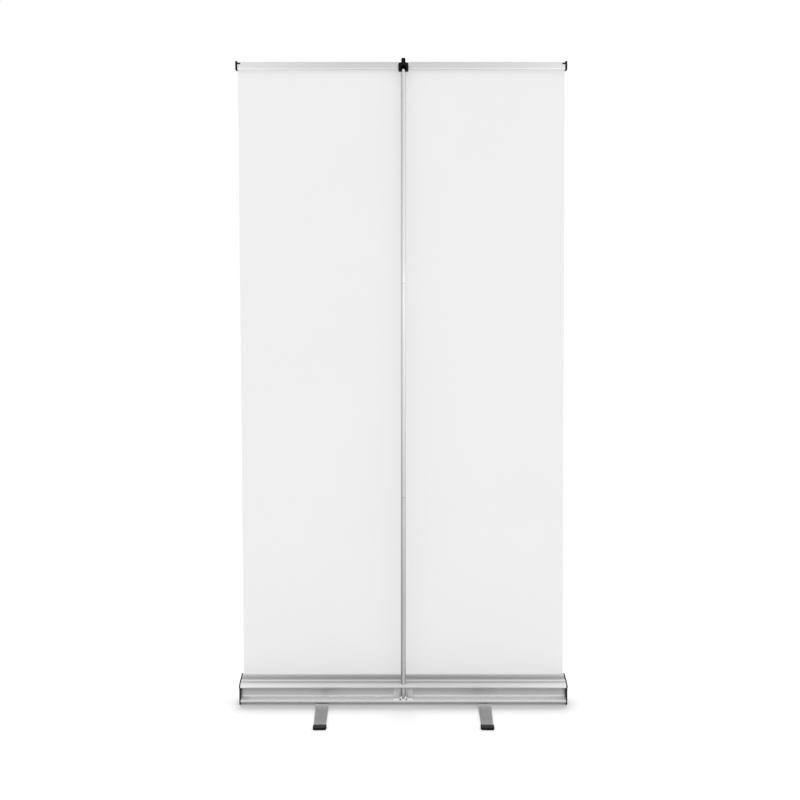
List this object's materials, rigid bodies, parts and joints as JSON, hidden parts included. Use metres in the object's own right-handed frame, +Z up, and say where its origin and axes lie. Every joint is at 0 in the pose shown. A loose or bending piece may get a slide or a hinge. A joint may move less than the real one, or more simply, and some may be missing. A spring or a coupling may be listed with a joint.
{
  "type": "roll-up banner stand",
  "caption": "Free-standing roll-up banner stand: aluminium cassette base with swing-out flat feet, sectional rear pole and hook, clamp rail and a blank pale banner.",
  "frame": {"origin": "centre of the cassette's flat underside, 6.4 mm above the floor that the end caps and foot tips stand on", "axes": "X along the cassette, +Y towards the printed side of the banner, -Y towards the pole and the feet, +Z up"},
  "size_m": [0.8684, 0.2572, 1.6854],
  "materials": {
    "aluminium": "satin, lightly brushed along each length",
    "steel": "bright zinc",
    "black_plastic": "moulded, fine grain",
    "black_steel": "blackened",
    "nylon": "moulded natural nylon",
    "film": "smooth matt pale grey-white banner film, blank",
    "elastic": "braided white elastic"
  },
  "bodies": {
    "cassette": {"cassette_extrusion": "aluminium", "end_cap_left": "black_plastic", "end_cap_right": "black_plastic", "end_cap_screw_left_front": "steel", "end_cap_screw_left_rear": "steel", "end_cap_screw_right_front": "steel", "end_cap_screw_right_rear": "steel", "idle_pin": "steel", "spring_shaft": "steel", "spring_anchor": "steel", "torsion_spring": "steel", "pole_socket": "aluminium", "socket_screw_left": "black_steel", "socket_screw_right": "black_steel", "foot_washer_left": "nylon", "foot_washer_right": "nylon", "foot_rivet_left": "steel", "foot_rivet_right": "steel", "pole_tube_lower": "aluminium", "pole_tube_middle": "aluminium", "pole_tube_upper": "aluminium", "pole_ferrule_lower": "aluminium", "pole_ferrule_upper": "aluminium", "pole_cord": "elastic", "pole_foot_plug": "black_plastic", "pole_hook": "black_plastic"},
    "roller": {"roller_tube": "aluminium", "roller_plug_idle": "nylon", "roller_plug_spring": "nylon", "spring_clutch": "nylon", "banner_roll": "film"},
    "rail": {"rail_body": "aluminium", "rail_cap_left": "black_plastic", "rail_cap_right": "black_plastic", "banner_sheet": "film"},
    "jaw": {"rail_jaw": "aluminium"},
    "left_foot": {"foot_bar_left": "aluminium", "foot_tip_left": "black_plastic"},
    "right_foot": {"foot_bar_right": "aluminium", "foot_tip_right": "black_plastic"}
  },
  "joints": [
    {"name": "rail_lift", "type": "slide", "parent": "cassette", "child": "rail", "axis": [0, 0, 1], "range_m": [0, 0.03]},
    {"name": "roller_spin", "type": "hinge", "parent": "cassette", "child": "roller", "pos_m": [0, 0.0065, 0.024], "axis": [1, 0, 0], "range_deg": [0, 125]},
    {"name": "rail_jaw_open", "type": "hinge", "parent": "rail", "child": "jaw", "pos_m": [-0.0055, 0.0209, 1.6686], "axis": [1, 0, 0], "range_deg": [0, 60]},
    {"name": "left_foot_swivel", "type": "hinge", "parent": "cassette", "child": "left_foot", "pos_m": [-0.213, -0.014, 0], "axis": [0, 0, 1], "range_deg": [-2, 88]},
    {"name": "right_foot_swivel", "type": "hinge", "parent": "cassette", "child": "right_foot", "pos_m": [0.213, -0.014, 0], "axis": [0, 0, 1], "range_deg": [-88, 2]}
  ],
  "couplings": [
    {"joint": "roller_spin", "follows": "rail_lift", "rad_per_m": 71.17}
  ]
}
